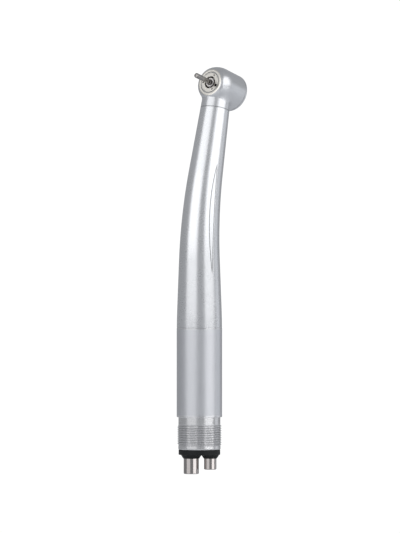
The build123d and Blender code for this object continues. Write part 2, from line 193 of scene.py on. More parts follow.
def quads(index, wrap):
    """Faces between neighbouring rows and columns of a grid of point numbers."""
    if wrap:
        index = np.hstack([index, index[:, :1]])
    return np.stack([index[:-1, :-1], index[:-1, 1:], index[1:, 1:], index[1:, :-1]], -1)


def add_marks(mesh, name, marks, points):
    """Store a value from 0 to 1 at every vertex, worked out from the points in millimetres."""
    values = np.zeros(len(points)) if marks is None else np.clip(marks(points), 0, 1)
    mesh.attributes.new(name, "FLOAT", "POINT").data.foreach_set("value", values.astype(np.float32))


def bell(gap, reach):
    """Soft line for marks: exp of minus the squared gap over the reach."""
    return np.exp(-(gap / reach) ** 2)


def in_head(points):
    """Points in the head's own frame, from the face: up, side, and minus the depth."""
    return (points - face_centre) @ head_axes.T


def make_piece(name, patches, body, nodes, material, wear=None, painted_shade=None, crease=32.0):
    """Weld grids of points in millimetres into one closed mesh at its place, and give it to its body."""
    points, faces, start = [], [], 0
    for patch in patches:
        grid, keep = patch if isinstance(patch, tuple) else (patch, None)
        index = start + np.arange(grid.shape[0] * grid.shape[1]).reshape(grid.shape[:2])
        cells = quads(index, True)
        faces.append(cells.reshape(-1, 4) if keep is None else cells[keep])
        points.append(grid.reshape(-1, 3))
        start += index.size
    mesh = bpy.data.meshes.new(name)
    mesh.from_pydata((np.vstack(points) * mm).tolist(), [], np.vstack(faces).tolist())
    welded = bmesh.new()
    welded.from_mesh(mesh)
    bmesh.ops.remove_doubles(welded, verts=welded.verts, dist=2e-7)
    bmesh.ops.dissolve_degenerate(welded, dist=1e-7, edges=welded.edges)
    bmesh.ops.recalc_face_normals(welded, faces=welded.faces)
    welded.to_mesh(mesh)
    open_edges = sum(1 for edge in welded.edges if not edge.is_manifold)
    welded.free()
    mesh.shade_smooth()
    mesh.set_sharp_from_angle(angle=radians(crease))
    flat = np.zeros(3 * len(mesh.vertices))
    mesh.vertices.foreach_get("co", flat)
    add_marks(mesh, "wear", wear, flat.reshape(-1, 3) / mm)
    # Second mark: painted shade, how far the colour is darkened in grooves, holes and seams.
    add_marks(mesh, "painted_shade", painted_shade, flat.reshape(-1, 3) / mm)
    mesh.materials.append(material)
    piece = bpy.data.objects.new(name, mesh)
    bpy.context.scene.collection.objects.link(piece)
    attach(piece, body)
    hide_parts(*nodes)
    print(f"{name}: {len(mesh.polygons)} faces, {open_edges} open edges")
    return piece


# %% [markdown]
# ## Effects shared by the finishes
# A plated handpiece is blasted with fine beads and then plated, so its metal is satin: the light spreads a
# little and the surface has a fine grain. Turned parts keep fine rings about their axis instead. Both
# effects are node groups that only put out values for roughness, height and a tint, so each material can
# use them in its own strength.

# %% Group maker
def new_group(name, inputs, outputs):
    """Empty shader group with float inputs given as name: default, and float outputs."""
    group = bpy.data.node_groups.new(name, "ShaderNodeTree")
    for label, default in inputs.items():
        socket = group.interface.new_socket(label, in_out="INPUT", socket_type="NodeSocketFloat")
        socket.default_value = default
    for label in outputs:
        group.interface.new_socket(label, in_out="OUTPUT", socket_type="NodeSocketFloat")
    nodes = group.nodes
    return group, nodes, nodes.new("NodeGroupInput"), nodes.new("NodeGroupOutput")


def feed(tree, socket, value):
    """Give an input its value, or a link where the value is another node's socket."""
    if isinstance(value, bpy.types.NodeSocket):
        tree.links.new(value, socket)
    else:
        socket.default_value = value


def math_node(tree, operation, first, second=None):
    """Math node whose two inputs are sockets or numbers; gives its result socket."""
    node = tree.nodes.new("ShaderNodeMath")
    node.operation = operation
    feed(tree, node.inputs[0], first)
    if second is not None:
        feed(tree, node.inputs[1], second)
    return node.outputs[0]


def mix_node(tree, kind, factor, first, second, blend="MIX"):
    """Mix node for colours or numbers, fed with sockets or values; gives its result socket."""
    node = tree.nodes.new("ShaderNodeMix")
    node.data_type = kind
    node.blend_type = blend
    for label, value in (("Factor", factor), ("A", first), ("B", second)):
        feed(tree, node.inputs[label], value)
    return node.outputs["Result"]


def noise_node(tree, vector, scale, detail=2.0):
    """Noise texture on a vector socket; gives its value socket."""
    node = tree.nodes.new("ShaderNodeTexNoise")
    node.inputs["Detail"].default_value = detail
    tree.links.new(vector, node.inputs["Vector"])
    feed(tree, node.inputs["Scale"], scale)
    return node.outputs["Fac"]


# %% Bead blasted grain
def make_grain_group():
    """Fine grain and slow clouding: height = fine noise, roughness = base + spread * (cloud - 0.5)."""
    group, nodes, inp, out = new_group(
        "blasted_grain", {"Scale": 9000.0, "Roughness": 0.3, "Spread": 0.06}, ("Roughness", "Height", "Tint"))
    vector = nodes.new("ShaderNodeTexCoord").outputs["Object"]
    fine = noise_node(group, vector, inp.outputs["Scale"], 3.0)
    cloud = noise_node(group, vector, 160.0, 4.0)
    centred = math_node(group, "SUBTRACT", math_node(group, "ADD", fine, cloud), 1.0)
    varied = math_node(group, "MULTIPLY", centred, inp.outputs["Spread"])
    group.links.new(math_node(group, "ADD", inp.outputs["Roughness"], varied), out.inputs["Roughness"])
    group.links.new(fine, out.inputs["Height"])
    shade = math_node(group, "MULTIPLY", centred, 0.05)
    group.links.new(math_node(group, "ADD", shade, 1.0), out.inputs["Tint"])
    return group


grain_group = make_grain_group()


# %% Turned rings
def make_rings_group():
    """Rings about the mapped Z axis: noise read along (radius, height) only, so it is the same all round."""
    group, nodes, inp, out = new_group(
        "turned_rings", {"Scale": 6000.0, "Roughness": 0.2, "Spread": 0.1}, ("Roughness", "Height", "Tint"))
    vector_in = group.interface.new_socket("Vector", in_out="INPUT", socket_type="NodeSocketVector")
    split = nodes.new("ShaderNodeSeparateXYZ")
    group.links.new(inp.outputs[vector_in.name], split.inputs[0])
    x, y, z = split.outputs
    squares = math_node(group, "ADD", math_node(group, "MULTIPLY", x, x), math_node(group, "MULTIPLY", y, y))
    radius = math_node(group, "SQRT", squares)
    joined = nodes.new("ShaderNodeCombineXYZ")
    group.links.new(radius, joined.inputs[0])
    group.links.new(z, joined.inputs[1])
    rings = noise_node(group, joined.outputs[0], inp.outputs["Scale"], 2.0)
    centred = math_node(group, "SUBTRACT", rings, 0.5)
    varied = math_node(group, "MULTIPLY", centred, inp.outputs["Spread"])
    group.links.new(math_node(group, "ADD", inp.outputs["Roughness"], varied), out.inputs["Roughness"])
    group.links.new(rings, out.inputs["Height"])
    shade = math_node(group, "MULTIPLY", centred, 0.12)
    group.links.new(math_node(group, "ADD", shade, 1.0), out.inputs["Tint"])
    return group


rings_group = make_rings_group()

# %% [markdown]
# ## The finishes
# Metals differ in three things: the colour they reflect, how much they spread light, and the pattern in
# that spread. So one maker builds them all from those three and picks grain or rings. The wear attribute
# mixes in a worn colour and roughness, and the painted shade attribute a dark colour that stands in for
# the shade in grooves, holes and seams. Rubber is made apart: it is black, not metal, and its moulded skin
# is matt with a fine bloom.

# %% Metal maker
# Dark colour painted into grooves, holes and seams as shade.
painted_shade_colour = (0.035, 0.033, 0.03, 1.0)
metal_bump_depth = 0.00002
moulded_bump_depth = 0.00003


def place_group(tree, group, values):
    """Group node in a material with its float inputs set."""
    node = tree.nodes.new("ShaderNodeGroup")
    node.node_tree = group
    for label, value in values.items():
        node.inputs[label].default_value = value
    return node


def mark_socket(tree, name):
    """Socket that reads a mark, wear or painted shade, stored at the mesh's vertices."""
    node = tree.nodes.new("ShaderNodeAttribute")
    node.attribute_name = name
    return node.outputs["Fac"]


def connect_shader(tree, colour, roughness, height, bump, depth):
    """Link colour and roughness to the shader, and bend its normal by a bump of the given depth."""
    shader = tree.nodes["Principled BSDF"]
    relief = tree.nodes.new("ShaderNodeBump")
    relief.inputs["Strength"].default_value = bump
    relief.inputs["Distance"].default_value = depth
    tree.links.new(height, relief.inputs["Height"])
    tree.links.new(relief.outputs["Normal"], shader.inputs["Normal"])
    tree.links.new(colour, shader.inputs["Base Color"])
    tree.links.new(roughness, shader.inputs["Roughness"])


def make_metal(name, colour, roughness, spread, bump, scale, rings=None, worn=(0.9, 0.9, 0.9, 0.16)):
    """Plated or bare metal: tinted colour, patterned roughness, worn places, painted shade in hollows, and a fine
    bump.
    """
    material = bpy.data.materials.new(name)
    material.use_nodes = True
    tree = material.node_tree
    tree.nodes["Principled BSDF"].inputs["Metallic"].default_value = 1.0
    effect = place_group(tree, rings_group if rings else grain_group,
                         {"Scale": scale, "Roughness": roughness, "Spread": spread})
    if rings:
        mapping = tree.nodes.new("ShaderNodeMapping")
        mapping.vector_type = "TEXTURE"
        mapping.inputs["Location"].default_value = rings[0]
        mapping.inputs["Rotation"].default_value = rings[1]
        tree.links.new(tree.nodes.new("ShaderNodeTexCoord").outputs["Object"], mapping.inputs["Vector"])
        tree.links.new(mapping.outputs["Vector"], effect.inputs["Vector"])
    wear = mark_socket(tree, "wear")
    tint = mix_node(tree, "RGBA", 1.0, (*colour, 1.0), effect.outputs["Tint"], "MULTIPLY")
    bright = mix_node(tree, "RGBA", wear, tint, (*worn[:3], 1.0))
    # Painted shade: the colour is darkened towards the dark colour where the shade mark is set.
    dark = mix_node(tree, "RGBA", mark_socket(tree, "painted_shade"), bright, painted_shade_colour)
    smooth = mix_node(tree, "FLOAT", wear, effect.outputs["Roughness"], worn[3])
    connect_shader(tree, dark, smooth, effect.outputs["Height"], bump, metal_bump_depth)
    return material


head_rings = (tuple(face_centre * mm), (0.0, -atan2(-bur_direction[0], bur_direction[2]), 0.0))
body_rings = ((0.0, 0.0, 0.0), (0.0, 0.0, 0.0))
satin_chrome = make_metal("satin_chrome", (0.80, 0.81, 0.83), 0.28, 0.06, 0.2, 3500.0)
head_chrome = make_metal("head_chrome", (0.76, 0.77, 0.79), 0.31, 0.05, 0.2, 6000.0,
                         worn=(0.86, 0.83, 0.77, 0.3))
matt_chrome = make_metal("matt_chrome", (0.72, 0.73, 0.76), 0.37, 0.08, 0.4, 2800.0)
face_nickel = make_metal("face_nickel", (0.86, 0.83, 0.77), 0.3, 0.1, 0.08, 9000.0, head_rings)
nose_steel = make_metal("nose_steel", (0.78, 0.75, 0.73), 0.24, 0.12, 0.08, 9000.0, head_rings)
shank_steel = make_metal("shank_steel", (0.40, 0.385, 0.37), 0.2, 0.1, 0.06, 5000.0, head_rings)
coupling_nickel = make_metal("coupling_nickel", (0.76, 0.76, 0.77), 0.25, 0.05, 0.02, 3000.0, body_rings)
tube_steel = make_metal("tube_steel", (0.47, 0.44, 0.43), 0.1, 0.08, 0.03, 3000.0, body_rings)
bearing_steel = make_metal("bearing_steel", (0.60, 0.60, 0.61), 0.16, 0.06, 0.06, 9000.0, head_rings)
spring_steel = make_metal("spring_steel", (0.52, 0.52, 0.54), 0.25, 0.08, 0.3, 6000.0)
wheel_aluminium = make_metal("wheel_aluminium", (0.80, 0.81, 0.83), 0.3, 0.1, 0.15, 5000.0, head_rings)
turned_brass = make_metal("turned_brass", (0.72, 0.55, 0.27), 0.26, 0.12, 0.1, 4000.0, body_rings)


# %% Rubber, ceramic and resin
def make_moulded(name, colour, roughness, scale, bump, bloom=0.0):
    """Moulded or lapped non-metal: dark clouded colour, grainy roughness and a fine bump."""
    material = bpy.data.materials.new(name)
    material.use_nodes = True
    tree = material.node_tree
    tree.nodes["Principled BSDF"].inputs["Specular IOR Level"].default_value = 0.3
    effect = place_group(tree, grain_group, {"Scale": scale, "Roughness": roughness, "Spread": 0.14})
    height = effect.outputs["Height"]
    share = math_node(tree, "ADD", math_node(tree, "MULTIPLY", height, 0.5), mark_socket(tree, "wear"))
    pale = [value + bloom for value in colour]
    tint = mix_node(tree, "RGBA", share, (*colour, 1.0), (*pale, 1.0))
    connect_shader(tree, tint, effect.outputs["Roughness"], height, bump, moulded_bump_depth)
    return material


seal_rubber = make_moulded("seal_rubber", (0.006, 0.007, 0.008), 0.5, 5000.0, 0.3, 0.006)
black_ceramic = make_moulded("black_ceramic", (0.02, 0.02, 0.022), 0.12, 3000.0, 0.05, 0.01)
cage_resin = make_moulded("cage_resin", (0.34, 0.17, 0.06), 0.5, 6000.0, 0.4, 0.08)
print("materials:", len(bpy.data.materials))

# %% [markdown]
# ## The rear sleeve
# A plain tube with a fine chamfer at each end, more matt than the rest so that fingers hold it. It could be
# a primitive with a bevel, but a turned profile states every edge and closes the inner wall in one go.

# %% Rear sleeve
ring_columns = 240
edge = 0.12


def near_heights(*heights, reach=0.35):
    """Wear that falls off from the given heights: exp of minus the squared distance over the reach."""
    def marks(points):
        gaps = np.min([np.abs(points[:, 2] - height) for height in heights], axis=0)
        return 0.8 * bell(gaps, reach)
    return marks


def make_rear_sleeve():
    """Turned profile: outer wall, end chamfers and inner wall, closed on itself."""
    wall = barrel_radius - 1.0
    heights = np.linspace(edge, sleeve_seam - edge, 40)
    outer = np.stack([np.full_like(heights, barrel_radius), heights], -1)
    profile = rows((wall, 0), (barrel_radius - edge, 0), outer, (barrel_radius - edge, sleeve_seam),
                   (wall, sleeve_seam), (wall, 0))
    grid = round_grid(upright((0, 0)), profile, ring_columns)
    return make_piece("rear_sleeve_shell", [grid], "handpiece", ["rear_sleeve"], matt_chrome,
                      near_heights(0.1, sleeve_seam - 0.1, reach=0.15))


make_rear_sleeve()

# %% [markdown]
# ## The front sleeve
# The long shell bends and tapers together, which a lathe profile can't do, so circles are carried along the
# centre line. On each side lies a slim leaf: a shallow flat cut into the round wall, with a fine groove on
# its border. A flat on a circle of radius r, with half angle w, is r cos w / cos a within the leaf.

# %% Front sleeve
leaf_low = 45.5
leaf_high = 81.5
leaf_skew = 0.35
leaf_width = radians(8.6)
leaf_turn = radians(14.6)
leaf_bow = radians(2.75)
leaf_groove = 0.09
groove_width = 0.1
sleeve_wall = 0.8
seam_reach = 0.12
low_chamfer = 0.1
high_chamfer = 0.08


def leaf_shape(distance):
    """Middle and half width of the leaf, as angles from the side: both follow (1 - u^2)(1 + skew u)."""
    u = np.clip((distance - (leaf_low + leaf_high) / 2) / ((leaf_high - leaf_low) / 2), -1, 1)
    rise = (1 - u ** 2) * (1 + leaf_skew * u)
    return leaf_turn + leaf_bow * rise, leaf_width * rise


def groove_share(distance, angle, radius):
    """How deep in the border groove a point lies: exp of minus the squared gap over the width."""
    middle, half = leaf_shape(distance)
    gap = (np.abs(angle - middle) - half) * radius
    return bell(gap, groove_width) * np.clip(half / radians(1.5), 0, 1)


def leaf_cut(distance, angle, radius):
    """Depth taken off the round wall by the leaf's flat and by the groove on its border."""
    middle, half = leaf_shape(distance)
    off = np.abs(angle - middle)
    flat = np.where(off < half, 1 - np.cos(half) / np.cos(np.minimum(off, half)), 0) * radius
    return flat + leaf_groove * groove_share(distance, angle, radius)


def sleeve_angles():
    """Columns round the sleeve, close together across both leaves and wide elsewhere."""
    fine = np.linspace(-radians(8), radians(30), 110)
    right = -pi / 2 - fine[::-1]
    left = pi / 2 + fine
    front = np.linspace(left[-1], 2 * pi + right[0], 62)[1:-1]
    back = np.linspace(right[-1], left[0], 70)[1:-1]
    return np.concatenate([right, back, left, front])


def make_front_sleeve():
    """Circles of the sleeve radius along the centre line, less the two leaves, closed by its inner wall."""
    angles = sleeve_angles()[None, :]
    distance = np.linspace(sleeve_seam + low_chamfer, neck_seam - high_chamfer, 210)[:, None]
    radius = sleeve_radius(distance)
    toward_bur_right = -pi / 2 - angles
    toward_bur_left = angles - pi / 2
    cut = leaf_cut(distance, toward_bur_right, radius) + leaf_cut(distance, toward_bur_left, radius)

    def circles(at, radius):
        """Circles of a radius about the centre line, with the sleeve's columns."""
        return beside_line(at, radius * np.cos(angles), radius * np.sin(angles))
    outer = circles(distance, radius - cut)
    inner_at = np.linspace(neck_seam, sleeve_seam, 24)[:, None]
    inner = circles(inner_at, sleeve_radius(inner_at) - sleeve_wall)
    low_edge = circles(sleeve_seam, sleeve_radius(sleeve_seam) - low_chamfer)
    high_edge = circles(neck_seam, sleeve_radius(neck_seam) - high_chamfer)
    grid = np.concatenate([low_edge, outer, high_edge, inner, low_edge])

    def painted_shade(points):
        """Painted shade in the leaf's groove and at both seams: the bend is undone first to find each point."""
        lean = np.arctan2(np.maximum(points[:, 2] - straight_length, 0), bend_radius - points[:, 0])
        lean = np.minimum(lean, bend_angle)
        past = points - np.stack([bend_radius * (1 - np.cos(lean)), 0 * lean,
                                  straight_length + bend_radius * np.sin(lean)], -1)
        beyond = past[:, 0] * np.sin(lean) + past[:, 2] * np.cos(lean)
        across = past[:, 0] * np.cos(lean) - past[:, 2] * np.sin(lean)
        at = straight_length + bend_radius * lean + beyond
        turn = np.arctan2(-across, np.abs(points[:, 1]))
        upper = 0.45 * bell(at - neck_seam, seam_reach)
        lower = 0.1 * bell(at - sleeve_seam, seam_reach)
        return 0.75 * groove_share(at, turn, sleeve_radius(at)) + upper + lower
    return make_piece("front_sleeve_shell", [grid], "handpiece", ["front_sleeve"],
                      satin_chrome, painted_shade=painted_shade)


make_front_sleeve()

# %% [markdown]
# ## The head and its neck
# The head is one casting: a barrel about the bur's axis and a cone for the neck, run together with a small
# fillet. Two crossing tubes would show a hard line, and a boolean would leave ragged faces. Here each point
# is found along a ray from the crossing of the two axes, where the blended distance of both shapes is
# nought. The grid has three round openings: the face, the cap's seam and the neck's seam.

# %% Outline of the barrel
face_radius = 4.2
shoulder = np.array([5.3, 0.95])
shoulder_middle = np.array([4.86, 0.38])
head_radius = 6.12
full_depth = 5.0
cap_seam = 11.6


def circle_through(first, second, third):
    """Centre and radius of the circle through three points, from two equal-distance equations."""
    first, second, third = map(np.asarray, (first, second, third))
    matrix = 2 * np.stack([second - first, third - first])
    centre = np.linalg.solve(matrix, [second @ second - first @ first, third @ third - first @ first])
    return centre, np.linalg.norm(first - centre)


def tangent_circle(start, normal, end):
    """Circle that leaves start square to normal and passes end: its centre lies along normal."""
    chord = np.asarray(end) - start
    reach = (chord @ chord) / (2 * chord @ normal)
    return start + reach * normal, abs(reach)


nose_centre, nose_radius = circle_through((face_radius, 0.0), shoulder_middle, shoulder)
inward = (nose_centre - shoulder) / nose_radius
flare_centre, flare_radius = tangent_circle(shoulder, inward, (head_radius, full_depth))


def barrel_profile(depth):
    """Radius of the barrel at a depth: two tangent arcs, then a cylinder."""
    depth = np.clip(depth, 0, cap_seam)
    nose = nose_centre[0] + np.sqrt(np.maximum(nose_radius ** 2 - (depth - nose_centre[1]) ** 2, 0))
    flare = flare_centre[0] + np.sqrt(np.maximum(flare_radius ** 2 - (depth - flare_centre[1]) ** 2, 0))
    return np.where(depth < shoulder[1], nose, np.where(depth < full_depth, flare, head_radius))


print("shoulder radii", round(float(nose_radius), 2), round(float(flare_radius), 2))

# %% Blended surface of head and neck
neck_lean = float(centre_line(neck_root)[2])
neck_up = np.array([sin(neck_lean), 0, cos(neck_lean)])
neck_down = -(head_axes @ neck_up)
neck_reach = neck_root - neck_seam
neck_end_radius = 4.45
neck_seam_radius = float(sleeve_radius(neck_seam))


def blended(local):
    """Distance-like value of barrel and neck: min(a, b), rounded where both are within the fillet."""
    depth = face_to_neck - local[..., 2]
    barrel = np.hypot(local[..., 0], local[..., 1]) - barrel_profile(depth)
    along = local @ neck_down
    across = np.linalg.norm(local - along[..., None] * neck_down, axis=-1)
    neck = across - neck_end_radius - (neck_seam_radius - neck_end_radius) * along / neck_reach
    neck = np.where(along > 0, neck, 9.0)
    ease = np.clip((depth - 0.6) / 3.0, 0, 1)
    fillet = 0.06 + 0.8 * ease ** 2 * (3 - 2 * ease)
    pull = np.hypot(np.maximum(fillet - barrel, 0), np.maximum(fillet - neck, 0))
    return np.maximum(fillet, np.minimum(barrel, neck)) - pull


def cast(directions):
    """Points where rays from the axes' crossing leave the blended surface, by halving forty times."""
    near = np.full(directions.shape[:-1], 3.0)
    far = np.full(directions.shape[:-1], 14.0)
    for _ in range(40):
        middle = (near + far) / 2
        outside = blended(directions * middle[..., None]) > 0
        far = np.where(outside, middle, far)
        near = np.where(outside, near, middle)
    return directions * near[..., None]


def from_crossing(local):
    """Points given from the crossing of the axes, in the head's frame, carried into the row's frame."""
    return crossing + local @ head_axes


# %% Grids of the head
head_columns = 288
seam_edge = 0.08
spigot_radius = 3.8
spigot_bore = 3.2
spigot_low = 94.5
spigot_floor = 101.8


def barrel_directions():
    """Rays to a grid on the plain barrel: rows at set depths, columns round the bur's axis."""
    depth = np.concatenate([np.linspace(0.05, 1.0, 14), np.linspace(1.15, cap_seam - seam_edge, 62)])[:, None]
    angle = np.linspace(0, 2 * pi, head_columns, endpoint=False)[None, :]
    radius = barrel_profile(depth)
    across = radius * np.cos(angle), radius * np.sin(angle)
    local = np.stack(np.broadcast_arrays(*across, face_to_neck - depth), -1)
    return local / np.linalg.norm(local, axis=-1, keepdims=True)


def neck_window(directions):
    """Row and column limits of the window cut in the barrel's grid for the neck."""
    first_row = 7
    last_row = directions.shape[0] - 4
    half = round(head_columns * 58 / 360)
    middle = head_columns // 2
    return first_row, last_row, middle - half, middle + half


def neck_rays(border):
    """Rays from the window's border to the neck's seam, each keeping its turn about the neck's axis."""
    along = border @ neck_down
    across = border - along[:, None] * neck_down
    opening = np.arctan2(np.linalg.norm(across, axis=-1), along)
    across /= np.linalg.norm(across, axis=-1, keepdims=True)
    seam_at = neck_reach - seam_edge
    seam_radius = neck_end_radius + (neck_seam_radius - neck_end_radius) * seam_at / neck_reach
    last = atan2(seam_radius, seam_at)
    share = np.linspace(0, 1, 84)[:, None]
    angle = opening + (last - opening) * share
    return np.cos(angle)[..., None] * neck_down + np.sin(angle)[..., None] * across, across


def make_head():
    """Outer surface, face recess, turbine chamber, neck end, spigot and bore as one closed shell."""
    rays = barrel_directions()
    top, bottom, left, right = neck_window(rays)
    border = np.concatenate([
        rays[top, left:right], rays[top:bottom, right],
        rays[bottom, right:left:-1], rays[bottom:top:-1, left]])
    neck_directions, around = neck_rays(border)
    keep = np.ones((rays.shape[0] - 1, head_columns), bool)
    keep[top:bottom, left:right] = False
    inside = rows(
        (barrel_profile(0.05), 0.05), (4.15, 0.015), (4.08, 0), (3.66, 0), (3.58, 0.03), (3.55, 0.1),
        (3.52, 0.2), (3.38, 0.2), (3.38, 0.95), (2.2, 0.95), (2.2, 1.2), (3.65, 1.2), (3.65, 3.9),
        (4.85, 3.9), (4.85, cap_seam), (head_radius - seam_edge, cap_seam),
        (head_radius, cap_seam - seam_edge))
    inner = round_grid(head_points, inside, head_columns)
    spigot = np.array([
        (neck_seam_radius - seam_edge, neck_reach), (spigot_radius, neck_reach),
        (spigot_radius, neck_root - spigot_low), (spigot_bore, neck_root - spigot_low),
        (spigot_bore, neck_root - spigot_floor), (0, neck_root - spigot_floor)])
    neck_end = from_crossing(spigot[:, 1][:, None, None] * neck_down + spigot[:, 0][:, None, None] * around)
    last_ring = from_crossing(cast(neck_directions[-1:]))
    patches = [(from_crossing(cast(rays)), keep), from_crossing(cast(neck_directions)), inner,
               np.concatenate([last_ring, neck_end])]

    def wear(points):
        """The face's rim is bare turned metal, like the plate it holds."""
        local = in_head(points)
        near_axis = np.hypot(local[:, 0], local[:, 1]) < face_radius + 0.2
        return np.clip((0.12 + local[:, 2]) / 0.08, 0, 1) * near_axis

    def painted_shade(points):
        """Painted shade: dark lines at the cap's seam, at the neck's seam and where the plate meets the rim."""
        local = in_head(points)
        along = (points - crossing) @ head_axes.T @ neck_down
        seam = bell(local[:, 2] + cap_seam, 0.1)
        end = bell(along - neck_reach, 0.1)
        rim = bell(np.hypot(local[:, 0], local[:, 1]) - 3.52, 0.08) * (local[:, 2] > -0.3)
        return 0.5 * seam + 0.45 * end + 0.5 * rim
    return make_piece("head_shell", patches, "handpiece", ["head_housing"], head_chrome, wear,
                      painted_shade)


make_head()

# %% [markdown]
# ## The face plate
# A turned ring with three spray holes and two blind holes for its spanner. Holes in a grid usually call for
# a boolean. On a fine polar grid they can simply be sunk: the height drops to the hole's floor where a
# point's distance from the hole's centre is under its radius, over a step of a few hundredths.

# %% Face plate
plate_radius = 3.34
plate_bore = 2.0
plate_thickness = 0.85
spray_places = [(2.65, radians(angle), 0.19, 0.6) for angle in (-30, -150, 90)]
spanner_places = [(2.75, radians(angle), 0.40, 0.45) for angle in (-112, 68)]


def plate_height(radius, angle):
    """Depth of the plate's front: chamfers at both rims, a shallow step, and a pit for every hole."""
    depth = np.maximum(radius - plate_radius + 0.12, 0) + np.maximum(plate_bore + 0.08 - radius, 0)
    depth = depth + 0.03 * np.clip((radius - 2.98) / 0.04, 0, 1)
    for hole_circle, hole_angle, hole_radius, hole_depth in spray_places + spanner_places:
        gap = np.hypot(radius * np.cos(angle) - hole_circle * cos(hole_angle),
                       radius * np.sin(angle) - hole_circle * sin(hole_angle))
        sunk = np.clip((hole_radius + 0.02 - gap) / 0.035, 0, 1)
        depth = np.maximum(depth, hole_depth * sunk)
    return depth


def make_face_plate():
    """Polar grid for the front, closed by the rim, the back and the bore."""
    angle = np.linspace(0, 2 * pi, 720, endpoint=False)[None, :]
    radius = np.linspace(plate_bore, plate_radius, 56)[:, None]
    front = head_points(radius * np.cos(angle), radius * np.sin(angle), plate_height(radius, angle))
    back = round_grid(head_points, [(plate_radius, plate_thickness), (plate_bore, plate_thickness)], angle[0])

    def painted_shade(points):
        """Painted shade: dark in the bore and in every hole, and on a hair's breadth round each hole."""
        local = in_head(points)
        dark = np.clip((-local[:, 2] - 0.08) / 0.1, 0, 1)
        for hole_circle, hole_angle, hole_radius, _ in spray_places + spanner_places:
            gap = np.hypot(local[:, 0] - hole_circle * cos(hole_angle),
                           local[:, 1] - hole_circle * sin(hole_angle))
            dark = np.maximum(dark, np.clip((hole_radius + 0.09 - gap) / 0.05, 0, 1))
        return dark
    return make_piece("spray_plate", [np.concatenate([front, back, front[:1]])], "handpiece", ["face_plate"],
                      face_nickel, painted_shade=painted_shade)


make_face_plate()

# %% [markdown]
# ## The back cap and the push button
# Both are turned, so both are profiles about the bur's axis. The cap's rounded rim and the chamfer at its
# seam are drawn as curves, and the button has a low dome with three shallow rings that a thumb can feel.

# %% Back cap
def make_back_cap():
    """Turned profile of the cap, from the seam over the rounded rim into the button's pocket."""
    profile = rows(
        (4.83, cap_seam), (head_radius - seam_edge, cap_seam), (head_radius, cap_seam + seam_edge),
        corner((head_radius, 12.05), (head_radius, head_length), (5.37, head_length), 12),
        (4.32, head_length), (4.2, head_length - 0.12), (4.2, 12.5), (4.7, 12.5), (4.7, 11.5), (1.7, 11.5),
        (1.7, 11.1), (3.65, 11.1), (3.65, 8.3), (4.83, 8.3), (4.83, cap_seam))
    grid = round_grid(head_points, profile, ring_columns)

    def painted_shade(points):
        """Painted shade: a dark line along the seam."""
        return 0.5 * bell(in_head(points)[:, 2] + cap_seam, 0.1)
    return make_piece("back_cap_ring", [grid], "handpiece", ["back_cap"], head_chrome,
                      painted_shade=painted_shade)


make_back_cap()


# %% Push button
def make_push_button():
    """Dome of a sphere with three cosine rings, then side wall, retaining flange, pocket and boss."""
    top = depths("push_button")[1] + face_to_neck
    crown = 0.5
    dome = (4.1 ** 2 + crown ** 2) / (2 * crown)
    radius = np.linspace(0, 3.95, 60)
    height = top - dome + np.sqrt(dome ** 2 - radius ** 2)
    ripple = 0.5 - 0.5 * np.cos(2 * pi * np.clip((radius - 1.3) / 1.8, 0, 1) * 3)
    dome_rows = np.stack([radius, height - 0.05 * ripple], -1)
    profile = rows(
        dome_rows, corner(dome_rows[-1], (4.1, top - 0.5), (4.1, top - 0.75), 6), (4.1, 12.45), (4.6, 12.45),
        (4.6, 11.95), (3.4, 11.95), (3.4, 13.0), (1.3, 13.0), (1.3, 11.45), (0, 11.45))
    grid = round_grid(head_points, profile, ring_columns)
    return make_piece("button_dome", [grid], "button", ["push_button"], nose_steel)


make_push_button()

# %% [markdown]
# ## The spindle and the bur blank
# Only the spindle's nose shows, as a bright ring round the shank with a dark gap on each side. A short ring
# would do for the picture, but a reusable part needs the whole shaft, so its full profile is turned.

# %% Spindle and bur blank
def make_spindle():
    """Turned profile: nose, two bearing seats, hub seat and the stepped bore."""
    profile = rows(
        (0.95, 0.06), (1.02, 0), (1.4, 0), (1.5, 0.1), (1.5, 1.35), (1.5875, 1.35), (1.5875, 3.75),
        (1.9, 3.75), (1.9, 8.55), (1.5875, 8.55), (1.5875, 11.0), (1.36, 11.0), (1.36, 7.5), (1.2, 7.5),
        (1.2, 1.25), (0.95, 1.25), (0.95, 0.06))
    grid = round_grid(head_points, profile, 144)
    return make_piece("spindle_shaft", [grid], "rotor", ["spindle"], nose_steel)


def make_bur_blank():
    """Turned pin with a domed tip: the tip's corner is a curve and its end a shallow cone."""
    tip, seat = depths("bur_blank")
    tip += face_to_neck
    seat += face_to_neck
    profile = rows(
        (0, tip), (0.5, tip + 0.02), corner((0.5, tip + 0.02), (0.8, tip + 0.04), (0.8, tip + 0.3)),
        (0.8, seat - 0.18), (0.62, seat), (0, seat))
    grid = round_grid(head_points, profile, 96)
    return make_piece("bur_pin", [grid], "bur", ["bur_blank"], shank_steel)


make_spindle()
make_bur_blank()

# %% [markdown]
# ## The coupling
# The nut of the hose runs on a fine thread. A real thread is a helix, so its radius depends on height and
# on turn together: the phase is height over pitch plus angle over a full turn, and the flank is a clipped
# triangle wave of that phase. At both ends the crest fades, as a cutter leaves it.

# %% Threaded body
relief_radius = 6.75
relief_length = 2.4
thread_radius = 7.1
thread_depth = 0.38
thread_pitch = 0.75
thread_turns = 9
collar_radius = 6.8
collar_end = 10.5


